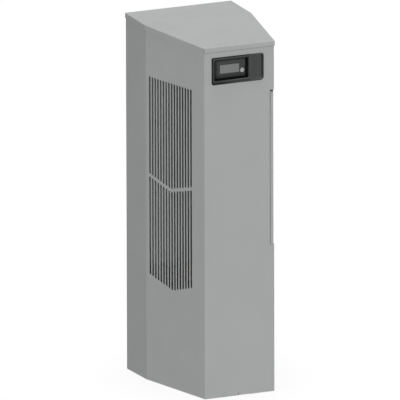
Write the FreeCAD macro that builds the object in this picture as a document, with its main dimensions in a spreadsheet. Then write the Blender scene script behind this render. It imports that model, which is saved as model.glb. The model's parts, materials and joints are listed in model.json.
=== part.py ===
# Side-mount enclosure air conditioner: a tall narrow cabinet with a six-sided plan,
# a sloped cap, slotted cheeks, a recessed controller and a pull-out air filter.
# Frame: +Z up, front towards -Y, +X to the right seen from the front,
# origin at the middle of the footprint on the floor. Millimetres.
import FreeCAD, Part
import Sketcher
import math
import os
from FreeCAD import Vector as V, Placement, Rotation

doc = FreeCAD.newDocument("enclosure_air_conditioner")

# ---------------------------------------------------------------- driving dimensions
sheet = doc.addObject("Spreadsheet::Sheet", "dims")
DIMS = [
    # cabinet
    ("wall", 1.5, "sheet thickness of hood, cap, base and rear panel"),
    ("thin_wall", 1.2, "sheet thickness of inner plates"),
    ("body_width", 293.5, "hood width over the straight rear sides"),
    ("front_width", 193.5, "hood width at the front face"),
    ("front_dist", 180.25, "origin to the outside of the front face"),
    ("knee_dist", 61.75, "origin to the knee where the sides start to taper"),
    ("rear_dist", 177.25, "origin to the outside of the hood's rear flanges"),
    ("flange_width", 16.0, "inward rear flange of the hood"),
    ("bend_out", 1.8, "outside bend radius"),
    ("bend_in", 0.5, "inside bend radius"),
    ("cap_top_back", 930.0, "top of the cap at its rear edge"),
    ("cap_fall", 0.0507, "fall of the cap per millimetre towards the front"),
    ("cap_bend", 1.5, "outside radius of the cap's bends"),
    ("cap_lip", 12.0, "height of the cap's turned-down lip"),
    ("pan_height", 20.0, "height of the base pan's upturned flange"),
    ("panel_top", 926.5, "top edge of the rear panel"),
    ("gasket_thick", 5.0, "compressed thickness of the mounting gasket"),
    ("gasket_band", 12.0, "width of the gasket strip"),
    ("gasket_half", 134.0, "half width over the gasket"),
    ("gasket_low", 19.0, "lowest edge of the gasket"),
    ("gasket_high", 912.0, "highest edge of the gasket"),
    # air slots in the cheeks
    ("slot_width", 7.6, "width of an air slot"),
    ("slot_pitch", 11.507, "distance from slot to slot"),
    ("slot_first", 16.5, "knee to the first slot"),
    ("slot_count", 16, "slots in a row"),
    ("slot_top", 794.0, "top of the left slots"),
    ("bar_high", 540.5, "upper edge of the dividing bar at its ends"),
    ("bar_low", 533.5, "lower edge of the dividing bar at its ends"),
    ("slot_end", 277.7, "bottom of the left slots at the ends of the row"),
    ("vee_depth", 22.3, "how far the vee dips at the middle of the row"),
    ("inlet_first", 27.0, "first right slot, from the knee"),
    ("inlet_top", 776.0, "top of the right slots"),
    ("inlet_bar_high", 601.5, "upper edge of the right dividing bar"),
    ("inlet_bar_low", 594.5, "lower edge of the right dividing bar"),
    ("inlet_end", 414.0, "bottom of the right slots at the ends of the row"),
    # display
    ("bezel_left", -77.1, "bezel flange, left side"),
    ("bezel_right", 68.0, "bezel flange, right side"),
    ("bezel_low", 813.4, "bezel flange, lower side"),
    ("bezel_high", 884.1, "bezel flange, upper side"),
    ("bezel_proud", 3.5, "bezel flange in front of the hood"),
    ("bezel_depth", 32.0, "bezel body behind the hood face"),
    ("recess_left", -69.8, "controller recess, left side"),
    ("recess_right", 25.0, "controller recess, right side"),
    ("recess_low", 824.0, "controller recess, lower side"),
    ("recess_high", 876.2, "controller recess, upper side"),
    ("recess_depth", 20.0, "controller recess depth from the bezel face"),
    ("field_left", 29.0, "blank field beside the recess, left side"),
    ("field_right", 65.4, "blank field, right side"),
    ("field_low", 817.4, "blank field, lower side"),
    ("field_high", 880.7, "blank field, upper side"),
    ("field_depth", 11.0, "blank field depth from the bezel face"),
    ("lcd_left", -45.6, "display window, left side"),
    ("lcd_right", 7.4, "display window, right side"),
    ("lcd_low", 836.7, "display window, lower side"),
    ("lcd_high", 858.4, "display window, upper side"),
    ("button_x", 15.1, "push button, across"),
    ("button_z", 840.6, "push button, height"),
    ("button_rad", 5.75, "push button radius"),
    ("button_gap", 0.2, "clearance round the push button"),
    # filter
    ("filter_thick", 7.5, "filter frame thickness"),
    ("filter_height", 399.5, "filter frame height"),
    ("filter_low", 384.0, "lower edge of the filter"),
    ("filter_back", 9.0, "knee to the rear edge of the filter"),
    ("filter_front", 246.1, "knee to the front edge of the filter"),
    ("filter_set", 1.9, "outside of the cheek to the filter"),
    ("filter_rim", 12.0, "width of the filter frame's channels"),
    # condenser
    ("cond_back", 42.0, "knee to the rear end of the condenser"),
    ("cond_length", 180.0, "finned length of the condenser"),
    ("cond_thick", 30.0, "depth of the condenser fins"),
    ("cond_set", 18.0, "outside of the cheek to the condenser"),
    ("cond_low", 384.0, "lower edge of the condenser"),
    ("cond_height", 400.0, "height of the condenser"),
    ("tube_rad", 4.75, "radius of the coil tubes"),
    ("fin_pitch", 3.0, "distance from fin to fin"),
    ("fin_thick", 0.5, "fin thickness"),
    # condenser fans
    ("fan_y", -60.0, "fan axes, front to back"),
    ("fan_low", 400.0, "lower fan axis height"),
    ("fan_high", 665.0, "upper fan axis height"),
    ("fan_hole", 96.0, "radius of the fan opening"),
    ("blade_tip", 91.0, "radius at the middle of a blade's tip"),
    ("fan_hub", 34.0, "radius of the fan hub"),
    ("fan_shaft_rad", 4.0, "fan shaft radius"),
    ("shaft_gap", 0.05, "running clearance of the shafts"),
    # evaporator side
    ("blower_z", 760.0, "blower axis height"),
    ("wheel_rad", 95.0, "blower wheel radius"),
    ("blower_shaft_rad", 5.0, "blower shaft radius"),
    ("return_rad", 72.0, "radius of the return air opening"),
    ("supply_half", 105.0, "half width of the supply air opening"),
    ("supply_low", 325.0, "lower edge of the supply air opening"),
    ("supply_high", 425.0, "upper edge of the supply air opening"),
    ("shelf_z", 300.0, "shelf under the evaporator compartment"),
    ("divider_y", 57.5, "front of the dividing wall"),
    ("evap_length", 200.0, "finned length of the evaporator"),
    ("evap_thick", 34.0, "depth of the evaporator fins"),
    ("evap_height", 184.0, "height of the evaporator along its slope"),
    ("evap_tilt", 20.0, "lean of the evaporator from upright, degrees"),
    # refrigeration
    ("comp_x", -15.0, "compressor axis, across"),
    ("comp_y", 85.0, "compressor axis, front to back"),
    ("comp_rad", 58.0, "compressor shell radius"),
    ("comp_top", 250.0, "top of the compressor shell"),
    ("comp_foot", 24.0, "underside of the compressor's foot plate"),
    # mounting
    ("nut_half", 110.0, "mounting nuts, half spacing across"),
    ("nut_low", 45.0, "lowest mounting nuts"),
    ("nut_mid", 465.0, "middle mounting nuts"),
    ("nut_high", 885.0, "highest mounting nuts"),
    ("nut_bore", 4.0, "bore radius of a mounting nut"),
    ("screw_half", 139.0, "rear screws, half spacing across"),
]
for row, (name, value, note) in enumerate(DIMS, start=1):
    sheet.set("A%d" % row, name)
    sheet.set("B%d" % row, str(value))
    sheet.setAlias("B%d" % row, name)
    sheet.set("C%d" % row, note)
doc.recompute()


class Q:
    """A size together with the expression that ties it to the sheet."""

    def __init__(self, value, text):
        self.v = float(value)
        self.t = text

    def _two(self, other, sign, value):
        return Q(value, "(%s %s %s)" % (self.t, sign, other.t))

    def __add__(self, o):
        o = q(o)
        return self._two(o, "+", self.v + o.v)

    def __radd__(self, o):
        return q(o) + self

    def __sub__(self, o):
        o = q(o)
        return self._two(o, "-", self.v - o.v)

    def __rsub__(self, o):
        return q(o) - self

    def __mul__(self, o):
        o = q(o)
        return self._two(o, "*", self.v * o.v)

    def __rmul__(self, o):
        return q(o) * self

    def __truediv__(self, o):
        o = q(o)
        return self._two(o, "/", self.v / o.v)

    def __neg__(self):
        return Q(-self.v, "(0 - %s)" % self.t)


def q(x):
    if isinstance(x, Q):
        return x
    return Q(x, "%.6f" % float(x) if x >= 0 else "(0 - %.6f)" % abs(float(x)))


def D(name):
    return Q(float(sheet.get(name)), "dims." + name)


def bind(obj, prop, size):
    obj.setExpression(prop, size.t)


# ---------------------------------------------------------------- building helpers
PARTS = []


def keep(label, obj):
    """Marks a finished piece of the assembly and gives it its own name."""
    obj.Label = label
    PARTS.append((label, obj))
    return obj


def box(lx, ly, lz, x, y, z):
    b = doc.addObject("Part::Box", "block")
    for prop, size in (("Length", lx), ("Width", ly), ("Height", lz)):
        size = q(size)
        setattr(b, prop, size.v)
        bind(b, prop, size)
    x, y, z = q(x), q(y), q(z)
    b.Placement = Placement(V(x.v, y.v, z.v), Rotation())
    bind(b, "Placement.Base.x", x)
    bind(b, "Placement.Base.y", y)
    bind(b, "Placement.Base.z", z)
    return b


TURN = {
    "z": Rotation(),
    "x": Rotation(V(0, 1, 0), 90),
    "y": Rotation(V(1, 0, 0), -90),
}


def cyl(r, h, x, y, z, axis="z"):
    """A round bar that starts at (x, y, z) and runs along +axis."""
    c = doc.addObject("Part::Cylinder", "bar")
    r, h, x, y, z = q(r), q(h), q(x), q(y), q(z)
    c.Radius, c.Height = r.v, h.v
    bind(c, "Radius", r)
    bind(c, "Height", h)
    c.Placement = Placement(V(x.v, y.v, z.v), TURN[axis])
    bind(c, "Placement.Base.x", x)
    bind(c, "Placement.Base.y", y)
    bind(c, "Placement.Base.z", z)
    return c


def cone(r1, r2, h, x, y, z, axis="z"):
    c = doc.addObject("Part::Cone", "taper")
    r1, r2, h, x, y, z = (q(k) for k in (r1, r2, h, x, y, z))
    c.Radius1, c.Radius2, c.Height = r1.v, r2.v, h.v
    bind(c, "Radius1", r1)
    bind(c, "Radius2", r2)
    bind(c, "Height", h)
    c.Placement = Placement(V(x.v, y.v, z.v), TURN[axis])
    bind(c, "Placement.Base.x", x)
    bind(c, "Placement.Base.y", y)
    bind(c, "Placement.Base.z", z)
    return c


def fuse(*objs):
    f = doc.addObject("Part::MultiFuse", "joined")
    f.Shapes = list(objs)
    f.Refine = True
    return f


def cut(base, *tools):
    tool = tools[0]
    if len(tools) > 1:
        tool = doc.addObject("Part::MultiFuse", "tools")
        tool.Shapes = list(tools)
    c = doc.addObject("Part::Cut", "cut")
    c.Base, c.Tool = base, tool
    c.Refine = True
    return c


def group(*objs):
    g = doc.addObject("Part::Compound", "set")
    g.Links = list(objs)
    return g


def plain(shape):
    """A piece whose outline is worked out here from the sheet's values."""
    f = doc.addObject("Part::Feature", "piece")
    f.Shape = shape
    return f


def plane_of(body, role):
    for f in body.Origin.OriginFeatures:
        if f.Role == role:
            return f


def new_body(name):
    return doc.addObject("PartDesign::Body", name)


def sketch(body, role, off=0.0):
    sk = body.newObject("Sketcher::SketchObject", "profile")
    sk.AttachmentSupport = [(plane_of(body, role), "")]
    sk.MapMode = "FlatFace"
    off = q(off)
    sk.AttachmentOffset = Placement(V(0, 0, off.v), Rotation())
    bind(sk, "AttachmentOffset.Base.z", off)
    return sk


def pin(sk, geo, pos, x, y):
    """Holds a sketch point at (x, y), measured from the sketch origin."""
    for kind, axis, size in (("DistanceX", -2, q(x)), ("DistanceY", -1, q(y))):
        if abs(size.v) < 1e-9:
            sk.addConstraint(Sketcher.Constraint("PointOnObject", geo, pos, axis))
        else:
            n = sk.addConstraint(Sketcher.Constraint(kind, -1, 1, geo, pos, size.v))
            if "dims." in size.t:
                sk.setExpression("Constraints[%d]" % n, size.t)


def loop(sk, pts):
    pts = [(q(a), q(b)) for a, b in pts]
    n, first = len(pts), sk.GeometryCount
    for i in range(n):
        a, b = pts[i], pts[(i + 1) % n]
        sk.addGeometry(Part.LineSegment(V(a[0].v, a[1].v, 0), V(b[0].v, b[1].v, 0)), False)
    for i in range(n):
        sk.addConstraint(
            Sketcher.Constraint("Coincident", first + i, 2, first + (i + 1) % n, 1)
        )
    for i in range(n):
        pin(sk, first + i, 1, *pts[i])


def rect(sk, x0, y0, x1, y1):
    loop(sk, [(x0, y0), (x1, y0), (x1, y1), (x0, y1)])


def soft_rect(sk, x0, y0, x1, y1, radii):
    """A rectangle with rounded corners: top left, top right, low right, low left."""
    x0, y0, x1, y1 = (q(k) for k in (x0, y0, x1, y1))
    a, b, c, d = x0.v, y0.v, x1.v, y1.v
    tl, tr, br, bl = radii
    first = sk.GeometryCount
    corners = [
        ((a + bl, b), (c - br, b), (c - br, b + br), br, -90),
        ((c, b + br), (c, d - tr), (c - tr, d - tr), tr, 0),
        ((c - tr, d), (a + tl, d), (a + tl, d - tl), tl, 90),
        ((a, d - tl), (a, b + bl), (a + bl, b + bl), bl, 180),
    ]
    for p, e, m, r, deg in corners:
        sk.addGeometry(Part.LineSegment(V(p[0], p[1], 0), V(e[0], e[1], 0)), False)
        sk.addGeometry(
            Part.ArcOfCircle(
                Part.Circle(V(m[0], m[1], 0), V(0, 0, 1), r),
                math.radians(deg),
                math.radians(deg + 90),
            ),
            False,
        )
    for i in range(8):
        sk.addConstraint(Sketcher.Constraint("Tangent", first + i, 2, first + (i + 1) % 8, 1))
    for i, kind in ((0, "Horizontal"), (2, "Vertical"), (4, "Horizontal"), (6, "Vertical")):
        sk.addConstraint(Sketcher.Constraint(kind, first + i))
    for i, r in ((1, br), (3, tr), (5, tl), (7, bl)):
        sk.addConstraint(Sketcher.Constraint("Radius", first + i, r))
    for i, kind, size in (
        (0, "DistanceY", y0),
        (2, "DistanceX", x1),
        (4, "DistanceY", y1),
        (6, "DistanceX", x0),
    ):
        n = sk.addConstraint(Sketcher.Constraint(kind, -1, 1, first + i, 1, size.v))
        if "dims." in size.t:
            sk.setExpression("Constraints[%d]" % n, size.t)


def ring(sk, cx, cy, r):
    cx, cy, r = q(cx), q(cy), q(r)
    g = sk.addGeometry(Part.Circle(V(cx.v, cy.v, 0), V(0, 0, 1), r.v), False)
    pin(sk, g, 3, cx, cy)
    n = sk.addConstraint(Sketcher.Constraint("Radius", g, r.v))
    if "dims." in r.t:
        sk.setExpression("Constraints[%d]" % n, r.t)


def slot(sk, cx, y0, y1, w):
    """An upright slot with rounded ends."""
    r = w / 2
    a, b = y0 + r, y1 - r
    sk.addGeometry(Part.LineSegment(V(cx - r, b, 0), V(cx - r, a, 0)), False)
    sk.addGeometry(
        Part.ArcOfCircle(Part.Circle(V(cx, a, 0), V(0, 0, 1), r), math.pi, 2 * math.pi), False
    )
    sk.addGeometry(Part.LineSegment(V(cx + r, a, 0), V(cx + r, b, 0)), False)
    sk.addGeometry(Part.ArcOfCircle(Part.Circle(V(cx, b, 0), V(0, 0, 1), r), 0, math.pi), False)


def feature(body, kind, sk, length, flip=False, both=False):
    f = body.newObject("PartDesign::" + kind, kind.lower())
    f.Profile = sk
    length = q(length)
    f.Length = length.v
    bind(f, "Length", length)
    f.Reversed = flip
    if both:
        f.SideType = "Symmetric"
    return f


def pad(body, sk, length, flip=False, both=False):
    return feature(body, "Pad", sk, length, flip, both)


def pocket(body, sk, length, flip=False, both=False):
    doc.recompute()
    before = body.Tip.Shape.Volume
    p = feature(body, "Pocket", sk, length, flip, both)
    doc.recompute()
    if not p.Shape.Volume < before - 1e-3:
        raise RuntimeError("a pocket in %s cut nothing" % body.Name)
    return p


def fillet(body, base, names, r):
    f = body.newObject("PartDesign::Fillet", "bend")
    f.Base = (base, names)
    r = q(r)
    f.Radius = r.v
    bind(f, "Radius", r)
    return f


def bevel(body, base, names, size):
    f = body.newObject("PartDesign::Chamfer", "bevel")
    f.Base = (base, names)
    size = q(size)
    f.Size = size.v
    bind(f, "Size", size)
    return f


def upright_edges(shape, points, tol=0.05):
    """Names of the vertical edges that stand over the given (x, y) points."""
    names = []
    for i, e in enumerate(shape.Edges, start=1):
        a, b = e.Vertexes[0].Point, e.Vertexes[-1].Point
        if abs(a.x - b.x) < 1e-6 and abs(a.y - b.y) < 1e-6 and abs(a.z - b.z) > 1e-6:
            if any(abs(a.x - x) < tol and abs(a.y - y) < tol for x, y in points):
                names.append("Edge%d" % i)
    return names


def depth_edges(shape, points, tol=0.05):
    """Names of the edges that run front to back through the given (x, z) points."""
    names = []
    for i, e in enumerate(shape.Edges, start=1):
        a, b = e.Vertexes[0].Point, e.Vertexes[-1].Point
        if abs(a.x - b.x) < 1e-6 and abs(a.z - b.z) < 1e-6 and abs(a.y - b.y) > 1e-6:
            if any(abs(a.x - x) < tol and abs(a.z - z) < tol for x, z in points):
                names.append("Edge%d" % i)
    return names


def route(points, radii):
    """A path of straight runs joined by tangent arcs."""
    edges, here = [], V(*points[0])
    for i in range(1, len(points) - 1):
        p = V(*points[i])
        a = (V(*points[i - 1]) - p).normalize()
        b = (V(*points[i + 1]) - p).normalize()
        half = a.getAngle(b) / 2
        t = radii[i - 1] / math.tan(half)
        start, end = p + a * t, p + b * t
        mid = (a + b).normalize()
        centre = p + mid * (radii[i - 1] / math.sin(half))
        top = centre - mid * radii[i - 1]
        edges.append(Part.LineSegment(here, start).toShape())
        edges.append(Part.Arc(start, top, end).toShape())
        here = end
    edges.append(Part.LineSegment(here, V(*points[-1])).toShape())
    return Part.Wire(edges)


def sweep(path, r):
    e = path.OrderedEdges[0]
    p = e.valueAt(e.FirstParameter)
    d = e.tangentAt(e.FirstParameter)
    far = path.OrderedVertexes[0].Point
    if (p - far).Length > 1e-6:
        p, d = e.valueAt(e.LastParameter), e.tangentAt(e.LastParameter) * -1
    ringw = Part.Wire([Part.Circle(p, d, r).toShape()])
    return path.makePipeShell([ringw], True, False)


def pipe(points, radii, r, bore):
    """A bent tube, checked against its section times its length."""
    path = route(points, radii)
    s = sweep(path, r).cut(sweep(path, bore))
    want = math.pi * (r * r - bore * bore) * path.Length
    if abs(s.Volume - want) > 0.01 * want or not s.isValid():
        raise RuntimeError("a tube came out wrong: %.1f for %.1f" % (s.Volume, want))
    return s


# ---------------------------------------------------------------- the plan outline
wall = D("wall")
half = D("body_width") / 2
fhalf = D("front_width") / 2
run_in = half - fhalf
deep = D("knee_dist") + D("front_dist")
lean = run_in / deep
tan_knee = Q(math.tan(math.atan(lean.v) / 2), "tan(atan(%s) / 2)" % lean.t)
tan_front = Q(
    math.tan(math.pi / 4 - math.atan(lean.v) / 2), "tan(45 deg - atan(%s) / 2)" % lean.t
)


def outline(off, rear):
    """The six-sided plan, set in by off from the hood's outside; rear is its back edge."""
    off, rear = q(off), q(rear)
    return [
        (-(half - off), rear),
        (-(half - off), D("knee_dist") + off * tan_knee),
        (-(fhalf - off * tan_front), -(D("front_dist") - off)),
        (fhalf - off * tan_front, -(D("front_dist") - off)),
        (half - off, D("knee_dist") + off * tan_knee),
        (half - off, rear),
    ]


slant = math.hypot(run_in.v, deep.v)
UL = V(run_in.v / slant, -deep.v / slant, 0)  # along the left cheek, knee to front
UR = V(-run_in.v / slant, -deep.v / slant, 0)
NL = V(-deep.v / slant, -run_in.v / slant, 0)  # out of the left cheek
NR = V(deep.v / slant, -run_in.v / slant, 0)
KNEE_L = V(-half.v, D("knee_dist").v, 0)
KNEE_R = V(half.v, D("knee_dist").v, 0)


def cheek_r(u, inset, z):
    """A point u along the right cheek from the knee, inset from its outside."""
    return KNEE_R + UR * u - NR * inset + V(0, 0, z)


CHEEK_TURN = Rotation(V(0, 0, 1), math.degrees(math.atan2(UR.y, UR.x)))


def on_cheek(obj, u, inset, z):
    """Stands a block on the right cheek: its X runs to the front, its Y into the cabinet."""
    obj.Placement = Placement(cheek_r(u, inset, z), CHEEK_TURN)
    return obj


def cap_z(y):
    return D("cap_top_back").v - D("cap_fall").v * (180.25 - y)


# ---------------------------------------------------------------- hood
hood = new_body("hood_body")
sk = sketch(hood, "XY_Plane")
fl = D("flange_width")
out = outline(0, D("rear_dist"))
inn = outline(wall, D("rear_dist") - wall)
loop(
    sk,
    [(-(half - fl), D("rear_dist"))]
    + out
    + [(half - fl, D("rear_dist")), (half - fl, D("rear_dist") - wall)]
    + inn[::-1]
    + [(-(half - fl), D("rear_dist") - wall)],
)
f = pad(hood, sk, 935)
doc.recompute()
f = fillet(hood, f, upright_edges(f.Shape, [(a.v, b.v) for a, b in out]), D("bend_out"))
doc.recompute()
f = fillet(hood, f, upright_edges(f.Shape, [(a.v, b.v) for a, b in inn]), D("bend_in"))
doc.recompute()
# the top edge follows the fall of the cap
fall, tb = D("cap_fall"), D("cap_top_back")
sk = sketch(hood, "YZ_Plane")
y0, y1 = 200.0, 210.0
under = tb - wall - 0.1
loop(
    sk,
    [
        (-y0, under - fall * (180.25 + y0)),
        (y1, under + fall * (y1 - 180.25)),
        (y1, 960),
        (-y0, 960),
    ],
)
pocket(hood, sk, 400, both=True)


def cheek_slots(knee, u_dir, first, top, bar_hi, bar_lo, end):
    """Two rows of upright slots in a cheek; bar and lower ends follow a shallow vee."""
    sk = sketch(hood, "XZ_Plane")
    turn = math.degrees(math.atan2(u_dir.y, u_dir.x))
    sk.AttachmentOffset = Placement(V(knee.x, 0, -knee.y), Rotation(V(0, 1, 0), turn))
    sk.setExpression("AttachmentOffset.Base.z", None)
    n = int(D("slot_count").v)

    def vee(i, at, depth, last):
        """Fall below the first slot's end: straight to its lowest at slot number at, then up to last."""
        if i < at:
            return depth * i / at
        return depth - (depth - last) * (i - at) / (n - 1 - at)

    for i in range(n):
        u = first + i * D("slot_pitch").v
        dip = vee(i, 7.6, D("vee_depth").v, 1.2)
        low = vee(i, 8.4, D("vee_depth").v + 0.7, 0.4)
        slot(sk, u, bar_hi - dip, top, D("slot_width").v)
        slot(sk, u, end - low, bar_lo - dip, D("slot_width").v)
    pocket(hood, sk, 8, both=True)


cheek_slots(
    KNEE_L,
    UL,
    D("slot_first").v,
    D("slot_top").v,
    D("bar_high").v,
    D("bar_low").v,
    D("slot_end").v,
)
cheek_slots(
    KNEE_R,
    UR,
    D("inlet_first").v,
    D("inlet_top").v,
    D("inlet_bar_high").v,
    D("inlet_bar_low").v,
    D("inlet_end").v,
)
# opening for the display bezel
b_lo, b_hi = D("bezel_low"), D("bezel_high")
b_l, b_r = D("bezel_left"), D("bezel_right")
sk = sketch(hood, "XZ_Plane", D("front_dist"))
soft_rect(sk, b_l + 2, b_lo + 2, b_r - 1.2, b_hi - 2, (2.0, 5.0, 8.5, 4.0))
pocket(hood, sk, 12, both=True)
# filter slot through the front right corner
sk = sketch(hood, "XY_Plane", D("filter_low") - 2)
rect(sk, 85.5, -(D("front_dist") + 3), 106, -(D("front_dist") - 9.5))
pocket(hood, sk, D("filter_height") + 6, flip=True)
# small slit in the lower front edge, with a shallow step beside it
sk = sketch(hood, "XZ_Plane", D("front_dist"))
loop(sk, [(-4.9, -1), (30, -1), (30, 0.7), (-3.5, 0.7), (-3.5, 7.5), (-4.9, 7.5)])
pocket(hood, sk, 12, both=True)
# the rear flanges stop above the base pan
sk = sketch(hood, "XZ_Plane", -D("rear_dist"))
rect(sk, -(half - wall), -1, -(half - fl - 1), D("pan_height") + 1)
rect(sk, half - fl - 1, -1, half - wall, D("pan_height") + 1)
pocket(hood, sk, 4.5, both=True)
# clearance holes for the rear screws
SIDE_SCREWS = [70, 340, 610, 880]
sk = sketch(hood, "XZ_Plane", -D("rear_dist"))
for sx in (-1, 1):
    for z in SIDE_SCREWS:
        ring(sk, sx * D("screw_half"), z, 2.0)
pocket(hood, sk, 8, both=True)


def corner_gap(sx, tall, deep):
    """A thin upright block on the bend between the front and a cheek, under the cap."""
    g = box(1.0, 9, tall, 0, 0, 0)
    g.setExpression("Placement.Base.x", None)
    g.setExpression("Placement.Base.y", None)
    g.setExpression("Placement.Base.z", None)
    corner = V(sx * (fhalf.v + 0.6), -(D("front_dist").v - 0.2), cap_z(-180) - wall.v - deep)
    g.Placement = Placement(corner, Rotation(V(0, 0, 1), sx * 51)).multiply(
        Placement(V(-0.5, -6, 0), Rotation())
    )
    return g


keep("hood", cut(hood, corner_gap(-1, 16, 11), corner_gap(1, 16, 11)))

# ---------------------------------------------------------------- cap
# a sloped lid with lips turned down on all sides, open at the corners
def prism(points, z0, z1):
    b = new_body("prism")
    s = sketch(b, "XY_Plane", z0)
    loop(s, points)
    pad(b, s, q(z1) - q(z0))
    return b


def slope_block(over, under_):
    """The space between two planes that fall like the cap."""
    b = new_body("slope")
    s = sketch(b, "YZ_Plane")
    lo = tb - fall * (180.25 + 220)
    hi = tb + fall * (220 - 180.25)
    loop(s, [(-220, lo - under_), (220, hi - under_), (220, hi - over), (-220, lo - over)])
    pad(b, s, 340, both=True)
    return b


cap_out = prism(outline(-wall, D("rear_dist") + 2 * wall), 880, 960)
cap_in = prism(outline(-0.02, D("rear_dist") + wall + 0.02), 870, 970)
c1 = doc.addObject("Part::Common", "cap_slab")
c1.Base, c1.Tool = cap_out, slope_block(q(0), D("cap_lip") + wall)
doc.recompute()
bends = []
for i, e in enumerate(c1.Shape.Edges, start=1):
    if all(abs(v.Point.z - cap_z(v.Point.y)) < 1e-4 for v in e.Vertexes):
        bends.append((i, D("cap_bend").v, D("cap_bend").v))
    # the front lip's lower edge is eased
    if all(
        abs(v.Point.y + D("front_dist").v + wall.v) < 0.3
        and abs(v.Point.z - cap_z(v.Point.y) + D("cap_lip").v + wall.v) < 0.02
        for v in e.Vertexes
    ):
        bends.append((i, 1.0, 1.0))
c3 = doc.addObject("Part::Fillet", "cap_bends")
c3.Base, c3.Edges = c1, bends
doc.recompute()
c2 = doc.addObject("Part::Common", "cap_hollow")
c2.Base, c2.Tool = cap_in, slope_block(wall, q(40))
gaps = []
for sx in (-1, 1):
    gaps.append(corner_gap(sx, 30, 30.05))
    gaps.append(box(1.0, 6, 30, sx * (half - 1) - 0.5, D("rear_dist") + wall - 1, cap_z(178) - wall.v - 30.05))
cap_holes = [
    cyl(2.0, 6, x, D("rear_dist") + wall - 1, 922, "y") for x in (-100, 0, 100)
]
keep("top_cover", cut(c3, c2, *gaps, *cap_holes))

# ---------------------------------------------------------------- base pan
base = new_body("base_body")
sk = sketch(base, "XY_Plane")
edge = outline(wall + 0.3, D("rear_dist"))
loop(sk, edge)
f = pad(base, sk, D("pan_height"))
doc.recompute()
f = fillet(base, f, upright_edges(f.Shape, [(a.v, b.v) for a, b in edge[1:5]]), D("bend_out"))
doc.recompute()
sk = sketch(base, "XY_Plane", wall)
loop(sk, outline(wall * 2 + 0.3, D("rear_dist") - wall))
pocket(base, sk, D("pan_height"), flip=True)
# no flange along the slanted sides
for sx in (-1, 1):
    sk = sketch(base, "XY_Plane", wall)
    loop(
        sk,
        [
            (sx * (half + 4), D("knee_dist") - 6),
            (sx * (half - 8), D("knee_dist") - 6),
            (sx * (fhalf - 10), -(D("front_dist") - wall * 3)),
            (sx * (fhalf - 10), -(D("front_dist") + 4)),
            (sx * (half + 4), -(D("front_dist") + 4)),
        ],
    )
    pocket(base, sk, D("pan_height"), flip=True)
FEET = [
    (
        D("comp_x").v + 74 * math.cos(math.radians(a)),
        D("comp_y").v + 74 * math.sin(math.radians(a)),
    )
    for a in (90, 210, 330)
]
DRAIN = (-95.0, 100.0)
sk = sketch(base, "XY_Plane")
for x, y in FEET:
    ring(sk, x, y, 4.3)
ring(sk, DRAIN[0], DRAIN[1], 9.06)
pocket(base, sk, 8, both=True)
BASE_SCREWS = [-90, 0, 90]
sk = sketch(base, "XZ_Plane", -D("rear_dist"))
for x in BASE_SCREWS:
    ring(sk, x, 10, 2.0)
pocket(base, sk, 8, both=True)
keep("base_pan", base)

# ---------------------------------------------------------------- rear panel, gasket, fasteners
rear = new_body("rear_body")
back = D("rear_dist") + wall  # outside of the rear panel
sk = sketch(rear, "XZ_Plane", -D("rear_dist"))
rect(sk, -half, 0, half, D("panel_top"))
pad(rear, sk, wall, flip=True)
doc.recompute()
NUTS = [
    (sx * D("nut_half"), D(z)) for sx in (-1, 1) for z in ("nut_low", "nut_mid", "nut_high")
]
sk = sketch(rear, "XZ_Plane", -D("rear_dist"))
ring(sk, 0, D("blower_z"), D("return_rad"))
rect(sk, -D("supply_half"), D("supply_low"), D("supply_half"), D("supply_high"))
for x, z in NUTS:
    ring(sk, x, z, 5.56)
for sx in (-1, 1):
    for z in SIDE_SCREWS:
        ring(sk, sx * D("screw_half"), z, 2.0)
for x in BASE_SCREWS:
    ring(sk, x, 10, 2.0)
for x in (-100, 0, 100):
    ring(sk, x, 922, 2.0)
rect(sk, 58, 200, 102, 226)
pocket(rear, sk, 8, both=True)
keep("rear_panel", rear)

gas = new_body("gasket_body")
gh, gb = D("gasket_half"), D("gasket_band")
sk = sketch(gas, "XZ_Plane", -back)
rect(sk, -gh, D("gasket_low"), gh, D("gasket_high"))
rect(sk, -(gh - gb), D("gasket_low") + gb, gh - gb, D("gasket_high") - gb)
pad(gas, sk, D("gasket_thick"), flip=True)
keep("mounting_gasket", gas)

nuts = []
for x, z in NUTS:
    body_ = fuse(
        cyl(5.5, 3, x, D("rear_dist") - 1.5 + 0, z, "y"),
        cyl(7.5, 9, x, D("rear_dist") - 9, z, "y"),
    )
    nuts.append(cut(body_, cyl(D("nut_bore"), 14, x, D("rear_dist") - 10, z, "y")))
keep("mounting_nuts", group(*nuts))


def pan_screw(x, y, z, head_r, head_h, shank):
    """A screw from behind: head against the face at y, shank towards the front."""
    head = fuse(cyl(head_r, head_h, x, y, z, "y"), cyl(1.95, shank, x, y - shank, z, "y"))
    slot1 = box(head_r * 1.3, 1, 0.9, x - head_r * 0.65, y + head_h - 0.8, z - 0.45)
    slot2 = box(0.9, 1, head_r * 1.3, x - 0.45, y + head_h - 0.8, z - head_r * 0.65)
    return cut(head, slot1, slot2)


keep(
    "rear_screws",
    group(
        *[
            pan_screw(sx * D("screw_half").v, back.v, z, 3.6, 2.2, 6)
            for sx in (-1, 1)
            for z in SIDE_SCREWS
        ],
        *[pan_screw(x, back.v, 10, 3.6, 2.2, 6) for x in BASE_SCREWS],
    ),
)
keep(
    "cap_screws",
    group(*[pan_screw(x, back.v + wall.v, 922, 3.4, 1.4, 9) for x in (-100, 0, 100)]),
)

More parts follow.
